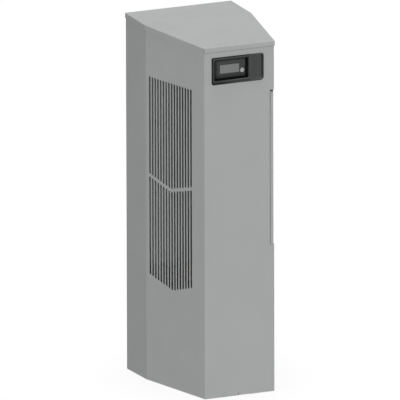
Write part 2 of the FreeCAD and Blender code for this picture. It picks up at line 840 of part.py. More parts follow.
# ---------------------------------------------------------------- dividing wall and foam liner
div = new_body("divider_body")
dy, tw, shelf = D("divider_y"), D("thin_wall"), D("shelf_z")
sk = sketch(div, "YZ_Plane")
rect(sk, dy, shelf, dy + tw, 921)
pad(div, sk, 287.9, both=True)
doc.recompute()
keep("partition_panel", div)
shf = new_body("shelf_body")
sk = sketch(shf, "XY_Plane", shelf)
rect(sk, -143.85, dy + tw, 143.85, D("rear_dist") - 2)
pad(shf, sk, tw)
doc.recompute()
sk = sketch(shf, "XY_Plane", shelf)
ring(sk, 126, 91, 3.5)
ring(sk, 128, 146, 7.5)
ring(sk, DRAIN[0], DRAIN[1], 10.5)
pocket(shf, sk, 8, both=True)
keep("partition_shelf", shf)

liner = new_body("liner_body")
sk = sketch(liner, "XY_Plane", shelf + tw + 0.3)
ly0 = dy + tw
loop(
    sk,
    [
        (-143.65, ly0),
        (143.65, ly0),
        (144.45, 64),
        (144.45, 172),
        (140.45, 172),
        (140.45, ly0 + 6),
        (-140.45, ly0 + 6),
        (-140.45, 172),
        (-144.45, 172),
        (-144.45, 64),
    ],
)
pad(liner, sk, 612)
doc.recompute()
sk = sketch(liner, "XZ_Plane", -ly0)
rect(sk, -76, D("blower_z") - 76, 76, D("blower_z") + 76)
pocket(liner, sk, 20, both=True)
keep("evaporator_liner", liner)

# ---------------------------------------------------------------- display and controller
face_y = -(D("front_dist") + D("bezel_proud"))
bez = new_body("bezel_body")
fd = D("front_dist")
# moulded box behind the hood face
sk = sketch(bez, "XZ_Plane", fd)
soft_rect(sk, b_l + 2.3, b_lo + 2.3, b_r - 1.5, b_hi - 2.3, (1.7, 4.7, 8.2, 3.7))
pad(bez, sk, D("bezel_depth"), flip=True)
doc.recompute()
# flange in front of it, its outer edge rounded
sk = sketch(bez, "XZ_Plane", fd)
soft_rect(sk, b_l, b_lo, b_r, b_hi, (3.6, 6.5, 10.0, 5.5))
f = pad(bez, sk, D("bezel_proud"))
doc.recompute()
names = [
    "Edge%d" % i
    for i, e in enumerate(f.Shape.Edges, start=1)
    if all(abs(v.Point.y + fd.v + D("bezel_proud").v) < 1e-4 for v in e.Vertexes)
]
fillet(bez, f, names, 3.0)
doc.recompute()
# deep recess over the controller, then the seat behind it
rl, rr, rlo, rhi = D("recess_left"), D("recess_right"), D("recess_low"), D("recess_high")
rd = D("recess_depth")
sk = sketch(bez, "XZ_Plane", fd + D("bezel_proud"))
soft_rect(sk, rl, rlo, rr, rhi, (2.5, 2.5, 2.5, 2.5))
f = pocket(bez, sk, rd)
names = [
    "Edge%d" % i
    for i, e in enumerate(f.Shape.Edges, start=1)
    if all(
        abs(v.Point.y + fd.v + D("bezel_proud").v) < 1e-4
        and rl.v - 0.01 < v.Point.x < rr.v + 0.01
        and rlo.v - 0.01 < v.Point.z < rhi.v + 0.01
        for v in e.Vertexes
    )
]
bevel(bez, f, names, 2.0)
doc.recompute()
sk = sketch(bez, "XZ_Plane", fd + D("bezel_proud") - rd)
rect(sk, rl + 0.6, rlo + 0.6, rr - 0.6, rhi - 0.6)
pocket(bez, sk, 40)
# blank field on the right, which runs back from the rib towards its right wall
f_l, f_r, f_lo, f_hi = D("field_left"), D("field_right"), D("field_low"), D("field_high")
fld = new_body("field_body")
sk = sketch(fld, "XZ_Plane", fd + D("bezel_proud") + 1)
soft_rect(sk, f_l, f_lo, f_r, f_hi, (1.0, 3.0, 7.0, 1.0))
pad(fld, sk, 16, flip=True)
dip = (D("field_depth").v - 0.4) / (f_r.v - f_l.v)
wedge = prism(
    [
        (f_l - 1, face_y - 4),
        (f_r + 1, face_y - 4),
        (f_r + 1, face_y + D("field_depth") + dip),
        (f_l - 1, face_y + 0.4 - dip),
    ],
    800,
    900,
)
field_flat = doc.addObject("Part::Common", "field_flat")
field_flat.Base, field_flat.Tool = fld, wedge
# its lower side slopes up as it goes back
rise = new_body("field_rise")
sk = sketch(rise, "YZ_Plane")
loop(
    sk,
    [
        (face_y - 5, f_lo - 4),
        (face_y + 15, f_lo + 12),
        (face_y + 15, 900),
        (face_y - 5, 900),
    ],
)
pad(rise, sk, 300, both=True)
field = doc.addObject("Part::Common", "field_space")
field.Base, field.Tool = field_flat, rise
doc.recompute()
keep("display_bezel", cut(bez, field))

seat = face_y + rd  # bottom of the recess
plate = new_body("faceplate_body")
sk = sketch(plate, "XZ_Plane", -seat)
rect(sk, rl + 0.8, rlo + 0.8, rr - 0.8, rhi - 0.8)
rect(sk, D("lcd_left"), D("lcd_low"), D("lcd_right"), D("lcd_high"))
ring(sk, D("button_x"), D("button_z"), D("button_rad") + D("button_gap"))
pad(plate, sk, 2.0, flip=True)
keep("controller_faceplate", plate)

lcd = box(
    D("lcd_right") - D("lcd_left") - 0.2,
    1.6,
    D("lcd_high") - D("lcd_low") - 0.2,
    D("lcd_left") + 0.1,
    seat + 0.3,
    D("lcd_low") + 0.1,
)
keep("lcd_window", lcd)

hs = new_body("housing_body")
sk = sketch(hs, "XZ_Plane", -(seat + 2.0))
rect(sk, rl + 0.8, rlo + 0.8, rr - 0.8, rhi - 0.8)
pad(hs, sk, 42, flip=True)
doc.recompute()
sk = sketch(hs, "XZ_Plane", -(seat + 2.0))
rect(sk, rl + 2.0, rlo + 2.0, rr - 2.0, rhi - 2.0)
pocket(hs, sk, 40)
keep("controller_housing", hs)

# circuit board with the switch that the button presses
board = cut(
    fuse(
        box(rr - rl - 4.6, 1.6, rhi - rlo - 4.6, rl + 2.3, seat + 14, rlo + 2.3),
        box(6, 6.2, 6, D("button_x") - 3, seat + 7.8, D("button_z") - 3),
        box(14, 5, 9, rl + 12, seat + 15.6, rlo + 8),
    ),
    cyl(1.5, 4, rl + 9, seat + 13, rlo + 9, "y"),
    cyl(1.5, 4, rr - 9, seat + 13, rhi - 9, "y"),
)
keep("controller_board", board)

btn = new_body("button_body")
sk = sketch(btn, "XZ_Plane", -(seat - 2.0))
ring(sk, D("button_x"), D("button_z"), D("button_rad"))
pad(btn, sk, 8, flip=True)
doc.recompute()
f = btn.Tip
names = [
    "Edge%d" % i
    for i, e in enumerate(f.Shape.Edges, start=1)
    if abs(e.CenterOfMass.y - (seat.v - 2.0)) < 0.01
]
fillet(btn, f, names, 0.8)
doc.recompute()
keep("set_button", btn)

# ---------------------------------------------------------------- air filter
fu0, fu1 = D("filter_back"), D("filter_front")
fh_, ft, fr = D("filter_height"), D("filter_thick"), D("filter_rim")
flen = fu1 - fu0


def local_box(lx, ly, lz, x, y, z):
    """A block in the cheek's own directions: along, inwards, up."""
    b = doc.addObject("Part::Box", "block")
    for prop, size in (("Length", lx), ("Width", ly), ("Height", lz)):
        size = q(size)
        setattr(b, prop, size.v)
        bind(b, prop, size)
    base_at = Placement(cheek_r(0, 0, 0), CHEEK_TURN)
    b.Placement = base_at.multiply(Placement(V(q(x).v, -q(y).v - q(ly).v, q(z).v), Rotation()))
    return b


fs, flo = D("filter_set"), D("filter_low")
frame_ = cut(
    local_box(flen, ft, fh_, fu0, fs, flo),
    local_box(flen - fr * 2, ft + 2, fh_ - fr * 2, fu0 + fr, fs - 1, flo + fr),
    local_box(flen - fr * 2 + 12, 5.4, fh_ - fr * 2 + 12, fu0 + fr - 6, fs + ft / 2 - 2.7, flo + fr - 6),
)
keep("filter_frame", frame_)
keep(
    "filter_media",
    local_box(
        flen - fr * 2 + 11, 5.0, fh_ - fr * 2 + 11, fu0 + fr - 5.5, fs + ft / 2 - 2.5, flo + fr - 5.5
    ),
)
rail_in = fs + ft + 0.4
rails = []
for z_web, z_leg in ((flo - 1.4, flo - 1.4), (flo + fh_ + 0.4, flo + fh_ + 0.4 - 9)):
    rails.append(
        fuse(
            local_box(226, rail_in + 1.0 - 1.8, 1.0, 8, 1.8, z_web),
            local_box(226, 1.0, 10.0, 8, rail_in, z_leg),
        )
    )
keep("filter_rails", group(*rails))


# ---------------------------------------------------------------- coils
def comb(length, depth, height, pitch, thick):
    """Thin fins joined by a web on the middle plane: X along the tubes, Y deep, Z up."""
    n = int(length / pitch)
    pts = []
    web, d2 = 1.0, depth / 2
    for i in range(n):
        x = i * pitch
        pts += [(x, web), (x, d2), (x + thick, d2), (x + thick, web)]
    end = [p for p in pts]
    low = [(x, -y) for x, y in reversed(end)]
    ring_ = [V(x, y, 0) for x, y in end + low]
    ring_.append(ring_[0])
    return Part.Face(Part.makePolygon(ring_)).extrude(V(0, 0, height))


def serpentine(length, height, n, ext, stub, side):
    """One tube to and fro: starts and ends at x = side end, bends at both ends."""
    pitch = height / n
    r = pitch / 2
    z = [height - pitch / 2 - i * pitch for i in range(n)]
    near, far = -ext, length + ext
    edges = []
    at_near = True
    start = V(-stub, 0, z[0])
    for i in range(n):
        a = start if i == 0 else V(near if at_near else far, 0, z[i])
        b = V(far if at_near else near, 0, z[i])
        if i == n - 1:
            b = V(-stub, 0, z[i])
        edges.append(Part.LineSegment(a, b).toShape())
        if i < n - 1:
            x = b.x
            bulge = r if at_near else -r
            edges.append(
                Part.Arc(b, V(x + bulge, 0, (z[i] + z[i + 1]) / 2), V(x, 0, z[i + 1])).toShape()
            )
        at_near = not at_near
    path = Part.Wire(edges)
    s = sweep(path, D("tube_rad").v)
    want = math.pi * D("tube_rad").v ** 2 * path.Length
    if abs(s.Volume - want) > 0.01 * want or not s.isValid():
        raise RuntimeError("a coil tube came out wrong")
    return s, z


cl, ct, ch_ = D("cond_length").v, D("cond_thick").v, D("cond_height").v
cond_at = Placement(
    cheek_r(D("cond_back").v, D("cond_set").v + ct / 2, D("cond_low").v), CHEEK_TURN
)
o = plain(comb(cl, ct, ch_, D("fin_pitch").v, D("fin_thick").v))
o.Placement = cond_at
keep("condenser_fins", o)
s, cond_z = serpentine(cl, ch_, 16, 5, 12, 1)
o = plain(s)
o.Placement = cond_at
keep("condenser_tubes", o)
ends = []
for x in (-1.5 - 0.2, cl - 0.2):
    b = Part.makeBox(1.5, ct + 8, ch_, V(x, -(ct + 8) / 2, 0))
    ends.append(b)
o = plain(Part.makeCompound(ends))
o.Placement = cond_at
keep("condenser_end_plates", o)

el, et, eh = D("evap_length").v, D("evap_thick").v, D("evap_height").v
tilt = D("evap_tilt").v
# the evaporator leans back: its tubes run across, inlet and outlet at the right
EV_MID = V(-5, 119.5, 521)
ev_turn = Rotation(V(1, 0, 0), -tilt).multiply(Rotation(V(0, 0, 1), 180))
evap_at = Placement(EV_MID, ev_turn).multiply(Placement(V(-el / 2, 0, -eh / 2), Rotation()))
o = plain(comb(el, et, eh, D("fin_pitch").v, D("fin_thick").v))
o.Placement = evap_at
keep("evaporator_fins", o)
s, ev_z = serpentine(el, eh, 8, 5, 14, 1)
o = plain(s)
o.Placement = evap_at
keep("evaporator_tubes", o)
ends = [
    Part.makeBox(1.5, et + 6, eh, V(x, -(et + 6) / 2, 0)) for x in (-1.5 - 0.2, el - 0.2)
]
o = plain(Part.makeCompound(ends))
o.Placement = evap_at
keep("evaporator_end_plates", o)
EV_TOP = evap_at.multVec(V(-14, 0, ev_z[0]))
EV_LOW = evap_at.multVec(V(-14, 0, ev_z[-1]))

# ---------------------------------------------------------------- condenser fans
fy = D("fan_y")
panel = new_body("fan_panel_body")
sk = sketch(panel, "YZ_Plane", -wall)
rect(sk, -176, 272, 56, 800)
for z in ("fan_low", "fan_high"):
    ring(sk, fy, D(z), D("fan_hole"))
pad(panel, sk, wall)
doc.recompute()
sk = sketch(panel, "YZ_Plane", -wall)
for z in ("fan_low", "fan_high"):
    ring(sk, fy, D(z), D("fan_hole"))
    ring(sk, fy, D(z), D("fan_hole") + 2)
pad(panel, sk, 18, flip=True)
keep("fan_panel", panel)

spiders = []
for z in ("fan_low", "fan_high"):
    arms = [cut(cyl(40, 3, 0, fy, D(z), "x"), cyl(9, 5, -1, fy, D(z), "x"))]
    for a in (90, 210, 330):
        arm = doc.addObject("Part::Box", "arm")
        arm.Length, arm.Width, arm.Height = 3, 12, 70
        arm.Placement = Placement(
            V(0, fy.v, D(z).v), Rotation(V(1, 0, 0), a)
        ).multiply(Placement(V(0, -6, 36), Rotation()))
        arms.append(arm)
    spiders.append(fuse(*arms))
keep("fan_spiders", group(*spiders))

for name, z in (("lower", "fan_low"), ("upper", "fan_high")):
    sr, gap = D("fan_shaft_rad"), D("shaft_gap")
    m = fuse(
        cyl(38, 34, 3, fy, D(z), "x"), cyl(30, 4, 37, fy, D(z), "x"), cyl(8.5, 3, 0, fy, D(z), "x")
    )
    keep(name + "_fan_motor", cut(m, cyl(sr + gap, 36, -1, fy, D(z), "x")))
    rot = new_body(name + "_fan_body")
    sk = sketch(rot, "XY_Plane")
    ring(sk, 0, 0, D("fan_hub"))
    pad(rot, sk, 34)
    doc.recompute()
    f = rot.Tip
    names = [
        "Edge%d" % i
        for i, e in enumerate(f.Shape.Edges, start=1)
        if abs(e.CenterOfMass.z) < 0.01 and e.Length > 100
    ]
    fillet(rot, f, names, 5.0)
    doc.recompute()
    sk = sketch(rot, "XY_Plane", 3.0)
    ring(sk, 0, 0, D("fan_hub") - 3)
    ring(sk, 0, 0, 9.0)
    pocket(rot, sk, 40, flip=True)
    sections = []
    for r_, chord, pitch_deg in ((31.0, 34.0, 42.0), (D("blade_tip"), 48.0, 22.0)):
        sb = sketch(rot, "XZ_Plane", r_)
        ca, sa = math.cos(math.radians(pitch_deg)), math.sin(math.radians(pitch_deg))
        c2, t2 = chord / 2, 1.1
        quad = [(-c2, -t2), (c2, -t2), (c2, t2), (-c2, t2)]
        loop(sb, [(a * ca - b * sa, 17 + a * sa + b * ca) for a, b in quad])
        sections.append(sb)
    blade = rot.newObject("PartDesign::AdditiveLoft", "blade")
    blade.Profile = sections[0]
    blade.Sections = [sections[1]]
    blade.Ruled = True
    doc.recompute()
    pat = rot.newObject("PartDesign::PolarPattern", "blades")
    pat.Originals = [blade]
    pat.Axis = (plane_of(rot, "Z_Axis"), [""])
    pat.Angle = 360
    pat.Occurrences = 5
    rot.Tip = pat
    doc.recompute()
    sk = sketch(rot, "XY_Plane", -1)
    ring(sk, 0, 0, sr)
    pocket(rot, sk, 60, flip=True)
    rot.Placement = Placement(V(-42, fy.v, D(z).v), Rotation(V(0, 1, 0), 90))
    keep(name + "_fan_rotor", rot)
    keep(name + "_fan_shaft", cyl(sr, 72, -40, fy, D(z), "x"))

# ---------------------------------------------------------------- evaporator blower
bzq = D("blower_z")
bs = D("blower_shaft_rad")
br = cut(
    box(150, 2, 150, -75, 61.5, bzq - 75),
    cyl(10, 6, 0, 60, bzq, "y"),
)
keep("blower_bracket", br)
bmot = cut(
    fuse(cyl(46, 30, 0, 63.5, bzq, "y"), cyl(30, 5, 0, 93.5, bzq, "y")),
    cyl(bs + D("shaft_gap"), 40, 0, 66, bzq, "y"),
)
keep("blower_motor", bmot)
keep("blower_shaft", cyl(bs, 46, 0, 70, bzq, "y"))

wh = new_body("wheel_body")
wr = D("wheel_rad")
sk = sketch(wh, "XY_Plane")
ring(sk, 0, 0, wr)
pad(wh, sk, 2)
doc.recompute()
sk = sketch(wh, "XY_Plane", 2)
ring(sk, 0, 0, 15)
pad(wh, sk, 13)
doc.recompute()
# one backward-leaning blade, then seven round the wheel
sk = sketch(wh, "XY_Plane", 1.5)
a0, a1, lean_deg = 52.0, 93.0, 38.0
dir_ = (math.cos(math.radians(lean_deg)), math.sin(math.radians(lean_deg)))
n_ = (-dir_[1], dir_[0])
lng = 49.0
p0 = (a0, 0.0)
p1 = (a0 + dir_[0] * lng, dir_[1] * lng)
loop(
    sk,
    [
        (p0[0] - n_[0], p0[1] - n_[1]),
        (p1[0] - n_[0], p1[1] - n_[1]),
        (p1[0] + n_[0], p1[1] + n_[1]),
        (p0[0] + n_[0], p0[1] + n_[1]),
    ],
)
blade = pad(wh, sk, 46)
doc.recompute()
pat = wh.newObject("PartDesign::PolarPattern", "blades")
pat.Originals = [blade]
pat.Axis = (plane_of(wh, "Z_Axis"), [""])
pat.Angle = 360
pat.Occurrences = 7
wh.Tip = pat
doc.recompute()
sk = sketch(wh, "XZ_Plane")
loop(sk, [(wr - 29, 56), (wr - 28, 58), (wr - 2, 48), (wr, 46.5), (wr - 0.5, 44), (wr - 3, 45)])
rv = wh.newObject("PartDesign::Revolution", "shroud")
rv.Profile = sk
rv.ReferenceAxis = (sk, ["V_Axis"])
rv.Angle = 360
doc.recompute()
sk = sketch(wh, "XY_Plane", -1)
ring(sk, 0, 0, bs)
pocket(wh, sk, 30, flip=True)
wh.Placement = Placement(V(0, 101.5, bzq.v), Rotation(V(1, 0, 0), -90))
keep("blower_wheel", wh)

# bellmouth between the return opening and the wheel's eye
bell = new_body("bell_body")
sk = sketch(bell, "XZ_Plane")
loop(
    sk,
    [
        (62.0, 0),
        (63.4, 0),
        (63.4, 8),
        (66.5, 15),
        (73, 20.2),
        (84, 20.2),
        (84, 21.7),
        (72, 21.7),
        (65.4, 16.4),
        (62.0, 8.4),
    ],
)
rv = bell.newObject("PartDesign::Revolution", "throat")
rv.Profile = sk
rv.ReferenceAxis = (sk, ["V_Axis"])
rv.Angle = 360
doc.recompute()
bell.Placement = Placement(V(0, D("rear_dist").v - 21.7, bzq.v), Rotation(V(1, 0, 0), -90))
keep("inlet_ring", bell)

# wire guard over the return opening
wires = []
wy = back + 1.25
for r_ in (16, 31, 46, 61, 77):
    t_ = doc.addObject("Part::Torus", "wire")
    t_.Radius1, t_.Radius2 = r_, 1.2
    t_.Placement = Placement(V(0, wy.v, bzq.v), Rotation(V(1, 0, 0), 90))
    wires.append(t_)
for a in (45, 135, 225, 315):
    w_ = doc.addObject("Part::Cylinder", "spoke")
    w_.Radius, w_.Height = 1.2, 72
    w_.Placement = Placement(V(0, wy.v, bzq.v), Rotation(V(0, 1, 0), a)).multiply(
        Placement(V(0, 0, 14), Rotation())
    )
    wires.append(w_)
for a in (45, 135, 225, 315):
    e_ = doc.addObject("Part::Cylinder", "eye")
    e_.Radius, e_.Height = 4.5, 2.4
    ra = math.radians(a)
    e_.Placement = Placement(
        V(84 * math.sin(ra), back.v + 0.05, bzq.v + 84 * math.cos(ra)), TURN["y"]
    )
    wires.append(e_)
keep("return_guard", fuse(*wires))

gr = new_body("grille_body")
sk = sketch(gr, "XZ_Plane", -back)
rect(sk, -(D("supply_half") + 8), D("supply_low") - 8, D("supply_half") + 8, D("supply_high") + 8)
pad(gr, sk, 2.0, flip=True)
doc.recompute()
sk = sketch(gr, "XZ_Plane", -back)
n_rows = 9
for k in range(n_rows):
    z0 = D("supply_low").v + 2 + k * 10.9
    for x0, x1 in ((-103, -36), (-33.5, 33.5), (36, 103)):
        rect(sk, x0, z0, x1, z0 + 7.6)
pocket(gr, sk, 10, both=True)
keep("supply_grille", gr)

inlet = cut(
    fuse(
        box(52, 2.2, 34, 54, back, 196),
        box(43.4, 24, 25.4, 58.3, back - 24, 200.3),
    ),
    box(36, 18, 18, 62, back - 14, 204),
)
pins = [box(2, 12, 5, x - 1, back - 14.5, z - 2.5) for x, z in ((71, 211), (89, 211), (80, 216.5))]
keep("power_inlet", fuse(inlet, *pins))

# ---------------------------------------------------------------- condensate
pan = cut(
    fuse(
        box(236, 66, 26, -118, 66.5, 391),
        cyl(6.0, 16, DRAIN[0], DRAIN[1], 375, "z"),
    ),
    box(233, 63, 26, -116.5, 68, 392.5),
    cyl(4.5, 30, DRAIN[0], DRAIN[1], 370, "z"),
)
keep("condensate_pan", pan)
keep(
    "drain_hose",
    cut(
        cyl(8.5, 364, DRAIN[0], DRAIN[1], 26, "z"),
        cyl(6.0, 370, DRAIN[0], DRAIN[1], 20, "z"),
    ),
)
keep(
    "drain_fitting",
    cut(
        fuse(
            cyl(9.0, 1.5, DRAIN[0], DRAIN[1], 0, "z"),
            cyl(15.0, 5, DRAIN[0], DRAIN[1], 1.5, "z"),
            cyl(6.0, 33.5, DRAIN[0], DRAIN[1], 6.5, "z"),
        ),
        cyl(4.5, 60, DRAIN[0], DRAIN[1], -5, "z"),
    ),
)

# ---------------------------------------------------------------- compressor
cx, cy, cr = D("comp_x"), D("comp_y"), D("comp_rad")
foot = D("comp_foot")
shell = new_body("shell_body")
sk = sketch(shell, "XY_Plane", foot + 4)
ring(sk, 0, 0, cr)
pad(shell, sk, D("comp_top") - foot - 4)
doc.recompute()
f = shell.Tip
names = [
    "Edge%d" % i
    for i, e in enumerate(f.Shape.Edges, start=1)
    if abs(e.CenterOfMass.z - D("comp_top").v) < 0.01 and e.Length > 200
]
fillet(shell, f, names, 16.0)
doc.recompute()
sk = sketch(shell, "XY_Plane", foot)
tri = []
for a in (90, 210, 330):
    for da in (-13, 13):
        tri.append(
            (86 * math.cos(math.radians(a + da)), 86 * math.sin(math.radians(a + da)))
        )
loop(sk, tri)
pad(shell, sk, 4)
doc.recompute()
sk = sketch(shell, "XY_Plane", foot)
for a in (90, 210, 330):
    ring(sk, 74 * math.cos(math.radians(a)), 74 * math.sin(math.radians(a)), 6.2)
pocket(shell, sk, 12, both=True)
sk = sketch(shell, "XY_Plane", foot + 40)
ring(sk, 0, 0, cr + 1.2)
pad(shell, sk, 3)
doc.recompute()
shell.Placement = Placement(V(cx.v, cy.v, 0), Rotation())
keep("compressor_shell", shell)

grommets, bolts = [], []
for x, y in FEET:
    grommets.append(
        cut(
            fuse(
                cyl(14, foot - wall, x, y, wall), cyl(6.0, 4, x, y, foot), cyl(11, 4, x, y, foot + 4)
            ),
            cyl(4.2, 50, x, y, -5),
        )
    )
    head = doc.addObject("Part::Prism", "hex")
    head.Polygon, head.Circumradius, head.Height = 6, 7.5, 5.3
    head.Placement = Placement(V(x, y, foot.v + 9.6), Rotation())
    bolts.append(
        fuse(cyl(4.0, foot + 9.6 - 0.1, x, y, 0.1), cyl(9, 1.6, x, y, foot + 8), head)
    )
keep("compressor_grommets", group(*grommets))
keep("compressor_bolts", group(*bolts))

cover = new_body("cover_body")
sk = sketch(cover, "XZ_Plane", -(cy - cr + 3))
rect(sk, cx - 22, 150, cx + 22, 206)
pad(cover, sk, 24)
doc.recompute()
f = cover.Tip
fillet(cover, f, depth_edges(f.Shape, [(cx.v + a, b) for a in (-22, 22) for b in (150, 206)]), 6)
doc.recompute()
keep("compressor_terminal_cover", cut(cover, cyl(cr + 0.3, 80, cx, cy, 140)))

AC = (71.0, 100.0)
acc_path = route([(AC[0], AC[1], 92), (AC[0], AC[1], 62), (43.6, 95.2, 62)], [14])
acc_pipe = plain(sweep(acc_path, 5.0))
acc = new_body("accumulator_body")
sk = sketch(acc, "XY_Plane", 86)
ring(sk, AC[0], AC[1], 24)
pad(acc, sk, 144)
doc.recompute()
f = acc.Tip
names = ["Edge%d" % i for i, e in enumerate(f.Shape.Edges, start=1) if e.Length > 140.2 and abs(e.Length - 144) > 0.5]
fillet(acc, f, names, 14)
doc.recompute()
keep("accumulator", fuse(acc, acc_pipe))

# ---------------------------------------------------------------- refrigerant lines
C_IN = cond_at.multVec(V(-12, 0, cond_z[0]))
C_OUT = cond_at.multVec(V(-12, 0, cond_z[-1]))
turn_in = C_IN - UR * 12.8
top_z = C_IN.z
keep(
    "discharge_line",
    plain(
        pipe(
            [
                (cx.v + 20, cy.v, D("comp_top").v),
                (cx.v + 20, cy.v, 280),
                (72, turn_in.y, 280),
                (72, turn_in.y, top_z),
                (turn_in.x, turn_in.y, top_z),
                (C_IN.x, C_IN.y, top_z),
            ],
            [14, 16, 16, 9.5],
            4.0,
            3.2,
        )
    ),
)
turn_out = C_OUT - UR * 12.8
DRY = (turn_out.x, 30.0)
keep(
    "liquid_line",
    plain(
        pipe(
            [
                (C_OUT.x, C_OUT.y, C_OUT.z),
                (turn_out.x, turn_out.y, C_OUT.z),
                (turn_out.x, turn_out.y, 374),
                (DRY[0], DRY[1], 352),
                (DRY[0], DRY[1], 338),
            ],
            [9.5, 9, 9],
            3.2,
            2.5,
        )
    ),
)
keep(
    "filter_drier",
    fuse(
        cone(3.6, 13, 12, DRY[0], DRY[1], 234),
        cyl(13, 80, DRY[0], DRY[1], 246),
        cone(13, 3.6, 12, DRY[0], DRY[1], 326),
    ),
)
keep(
    "capillary_tube",
    plain(
        pipe(
            [
                (DRY[0], DRY[1], 234),
                (DRY[0], DRY[1], 212),
                (126, EV_LOW.y, 212),
                (126, EV_LOW.y, EV_LOW.z),
                (EV_LOW.x, EV_LOW.y, EV_LOW.z),
            ],
            [12, 12, 10],
            1.6,
            0.8,
        )
    ),
)
keep(
    "suction_line",
    plain(
        pipe(
            [
                (EV_TOP.x, EV_TOP.y, EV_TOP.z),
                (128, EV_TOP.y, EV_TOP.z),
                (128, EV_TOP.y, 272),
                (AC[0], AC[1], 272),
                (AC[0], AC[1], 230),
            ],
            [10, 16, 16],
            4.75,
            3.9,
        )
    ),
)
ports = []
for px, py in ((cx.v - 22, cy.v + 10), (cx.v - 4, cy.v - 26)):
    ports.append(
        fuse(
            cyl(3.2, 22, px, py, D("comp_top")),
            cyl(4.6, 8, px, py, D("comp_top") + 18),
            cyl(6.4, 10, px, py, D("comp_top") + 26),
        )
    )
keep("service_ports", group(*ports))

# ---------------------------------------------------------------- electrical box
eb = new_body("ebox_body")
sk = sketch(eb, "XY_Plane", 806)
rect(sk, -92, -112, 92, 50)
pad(eb, sk, 88)
doc.recompute()
sk = sketch(eb, "XY_Plane", 806 + 1.2)
rect(sk, -90.8, -110.8, 90.8, 48.8)
pocket(eb, sk, 100, flip=True)
keep("electrical_box", eb)
con = fuse(
    box(46, 56, 44, -80, -40, 807.2),
    box(46, 40, 14, -80, -32, 851.2),
    box(30, 14, 6, -72, -19, 865.2),
)
keep("contactor", con)
keep(
    "run_capacitor",
    fuse(cyl(20, 62, 0, -15, 807.2), cyl(17, 4, 0, -15, 869.2), box(6, 1, 9, -9, -15.5, 873.2), box(6, 1, 9, 3, -15.5, 873.2)),
)
tblock = box(70, 22, 16, 14, 20, 807.2)
towers = [box(9, 22, 8, 16 + k * 11.5, 20, 823.2) for k in range(6)]
tscrews = [cyl(3.2, 1.6, 20.5 + k * 11.5, 31, 831.2) for k in range(6)]
keep("terminal_block", fuse(tblock, *towers, *tscrews))

# ---------------------------------------------------------------- check and write
doc.recompute()
for o in doc.Objects:
    bad = [s for s in o.State if s in ("Invalid", "Error")]
    if bad:
        raise RuntimeError("%s (%s) is %s" % (o.Name, o.Label, bad))
os.makedirs("parts", exist_ok=True)
names = [label for label, obj in PARTS]
if len(set(names)) != len(names) or len(names) > 60:
    raise RuntimeError("labels repeat or there are too many: %d" % len(names))
for label, obj in PARTS:
    shape = obj.Shape
    if shape.isNull() or not shape.isValid() or not shape.Solids:
        raise RuntimeError("%s has no valid solid" % label)
    if any(s.Volume <= 0 for s in shape.Solids):
        raise RuntimeError("%s has an empty solid" % label)
for old in os.listdir("parts"):
    if old.endswith(".step") and old[:-5] not in names:
        os.remove(os.path.join("parts", old))
for label, obj in PARTS:
    obj.Shape.exportStep(os.path.join("parts", label + ".step"))
    print(
        "%-28s solids %2d faces %4d volume %10.0f mm3"
        % (label, len(obj.Shape.Solids), len(obj.Shape.Faces), obj.Shape.Volume)
    )
print(len(PARTS), "pieces written")
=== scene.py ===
import json
import math

import bmesh
import bpy
from mathutils import Matrix, Vector


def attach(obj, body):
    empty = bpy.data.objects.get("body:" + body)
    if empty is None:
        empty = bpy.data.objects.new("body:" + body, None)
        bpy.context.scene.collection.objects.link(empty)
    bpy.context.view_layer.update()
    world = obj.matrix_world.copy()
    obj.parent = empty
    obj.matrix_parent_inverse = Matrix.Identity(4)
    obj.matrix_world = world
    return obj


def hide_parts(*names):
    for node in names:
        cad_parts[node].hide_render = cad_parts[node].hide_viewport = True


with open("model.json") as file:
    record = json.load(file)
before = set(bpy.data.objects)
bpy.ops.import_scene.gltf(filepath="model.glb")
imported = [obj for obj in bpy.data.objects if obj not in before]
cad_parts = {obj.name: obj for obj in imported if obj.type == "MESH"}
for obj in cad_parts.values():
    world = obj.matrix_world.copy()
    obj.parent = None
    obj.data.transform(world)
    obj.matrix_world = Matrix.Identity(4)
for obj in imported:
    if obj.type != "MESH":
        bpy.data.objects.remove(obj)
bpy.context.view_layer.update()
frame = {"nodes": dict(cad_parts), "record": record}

scene = bpy.context.scene
nodes = frame["nodes"]
MM = 0.001


# ------------------------------------------------------------------ materials
def new_mat(name):
    m = bpy.data.materials.new(name)
    m.use_nodes = True
    t = m.node_tree
    t.nodes.clear()
    out = t.nodes.new("ShaderNodeOutputMaterial")
    b = t.nodes.new("ShaderNodeBsdfPrincipled")
    t.links.new(b.outputs["BSDF"], out.inputs["Surface"])
    return m, t, b


def coords(t, stretch=None):
    """Points of the surface in metres, stretched along an axis where a grain runs."""
    c = t.nodes.new("ShaderNodeTexCoord")
    if stretch is None:
        return c.outputs["Object"]
    mp = t.nodes.new("ShaderNodeMapping")
    mp.inputs["Scale"].default_value = stretch
    t.links.new(c.outputs["Object"], mp.inputs["Vector"])
    return mp.outputs["Vector"]


def noise(t, vec, scale, detail=3.0, rough=0.55):
    n = t.nodes.new("ShaderNodeTexNoise")
    n.inputs["Scale"].default_value = scale
    n.inputs["Detail"].default_value = detail
    n.inputs["Roughness"].default_value = rough
    t.links.new(vec, n.inputs["Vector"])
    return n.outputs["Fac"]


def ramp(t, fac, stops):
    r = t.nodes.new("ShaderNodeValToRGB")
    el = r.color_ramp.elements
    while len(el) < len(stops):
        el.new(0.5)
    for e, (p, c) in zip(el, stops):
        e.position = p
        e.color = (c[0], c[1], c[2], 1.0)
    t.links.new(fac, r.inputs["Fac"])
    return r.outputs["Color"]


